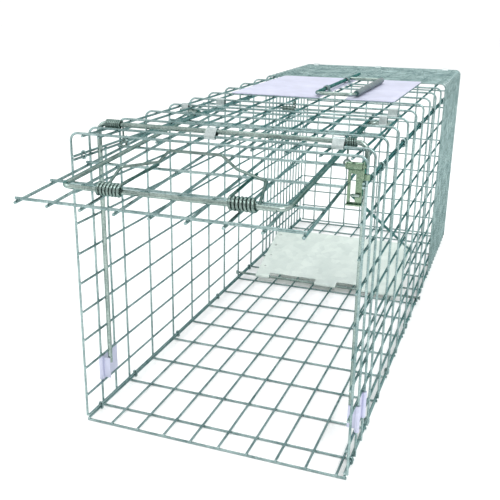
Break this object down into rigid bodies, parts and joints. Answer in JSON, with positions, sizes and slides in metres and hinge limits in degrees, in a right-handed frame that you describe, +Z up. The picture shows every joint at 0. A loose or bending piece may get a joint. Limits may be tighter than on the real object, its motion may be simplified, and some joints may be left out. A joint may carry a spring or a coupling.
{
  "type": "live catch trap",
  "caption": "Collapsible welded wire cage trap with a treadle-tripped drop door, lock bail, square-up hoop, hinged rear panel and folding carry handle.",
  "frame": {"origin": "on the ground under the middle of the whole trap", "axes": "+X to the trap's own left-to-right when the entrance is faced, towards the trip rod's side; +Y from the entrance to the rear panel; +Z up"},
  "size_m": [0.2436, 0.775, 0.2685],
  "materials": {
    "wire": "galvanised, slightly uneven",
    "heavy_wire": "galvanised, smooth",
    "spring_wire": "bright, oiled",
    "sheet": "galvanised sheet, faint spangle",
    "treadle_sheet": "galvanised sheet, dull",
    "clip_sheet": "bright sheet",
    "catch_sheet": "yellow passivated zinc",
    "grip": "ribbed sleeve"
  },
  "bodies": {
    "cage": {"floor_mesh": "wire", "left_wall_mesh": "wire", "right_wall_mesh": "wire", "top_mesh": "wire", "rear_panel_clips": "clip_sheet", "top_left_hinge_rings": "wire", "top_right_hinge_rings": "wire", "bottom_left_hinge_rings": "wire", "bottom_right_hinge_rings": "wire", "hoop_clips": "clip_sheet", "hoop_spring_left": "spring_wire", "hoop_spring_right": "spring_wire", "left_latch_plate": "sheet", "right_latch_plate": "sheet", "door_hinge_clips": "clip_sheet", "door_hinge_spring": "spring_wire", "bail_pivot_clips": "clip_sheet", "treadle_hinge_rod": "heavy_wire", "catch_bracket": "catch_sheet", "catch_pin": "catch_sheet", "guard_plate_left": "sheet", "guard_plate_right": "sheet", "handle_saddle_front": "clip_sheet", "handle_saddle_rear": "clip_sheet", "saddle_rivets": "clip_sheet"},
    "door": {"door_mesh": "wire"},
    "bail": {"lock_bail": "heavy_wire", "door_spring_coils": "spring_wire", "door_spring_bridge": "spring_wire"},
    "hoop": {"front_hoop": "heavy_wire"},
    "treadle": {"treadle_plate": "treadle_sheet"},
    "trip_rod": {"trip_rod": "heavy_wire"},
    "catch": {"door_catch": "catch_sheet"},
    "rear_panel": {"rear_panel": "wire"},
    "handle": {"carry_handle": "heavy_wire", "handle_grip": "grip"}
  },
  "joints": [
    {"name": "door_swing", "type": "hinge", "parent": "cage", "child": "door", "pos_m": [0, -0.05992, 0.255], "axis": [1, 0, 0], "range_deg": [0, 44]},
    {"name": "bail_swing", "type": "hinge", "parent": "cage", "child": "bail", "pos_m": [0, -0.11048, 0.2544], "axis": [1, 0, 0], "range_deg": [0, 51.5]},
    {"name": "hoop_swing", "type": "hinge", "parent": "cage", "child": "hoop", "pos_m": [0, -0.2576, 0.263], "axis": [1, 0, 0], "range_deg": [0, 80]},
    {"name": "treadle_tilt", "type": "hinge", "parent": "cage", "child": "treadle", "pos_m": [0, 0.09491, 0.0084], "axis": [-1, 0, 0], "range_deg": [0, 7]},
    {"name": "trip_rod_swing", "type": "hinge", "parent": "treadle", "child": "trip_rod", "pos_m": [0, 0.1604, 0.046], "axis": [1, 0, 0], "range_deg": [0, 6]},
    {"name": "catch_swing", "type": "hinge", "parent": "cage", "child": "catch", "pos_m": [0, -0.28659, 0.252], "axis": [1, 0, 0], "range_deg": [0, 23.5]},
    {"name": "rear_panel_swing", "type": "hinge", "parent": "cage", "child": "rear_panel", "pos_m": [0, 0.3814, 0.2545], "axis": [-1, 0, 0], "range_deg": [0, 85]},
    {"name": "handle_swing", "type": "hinge", "parent": "cage", "child": "handle", "pos_m": [0.004, -0.28959, 0.2652], "axis": [0, -1, 0], "range_deg": [0, 92]}
  ],
  "couplings": [
    {"joint": "bail_swing", "follows": "door_swing", "ratio": 1.16},
    {"joint": "trip_rod_swing", "follows": "treadle_tilt", "ratio": 0.819},
    {"joint": "catch_swing", "follows": "treadle_tilt", "ratio": 3.29}
  ]
}
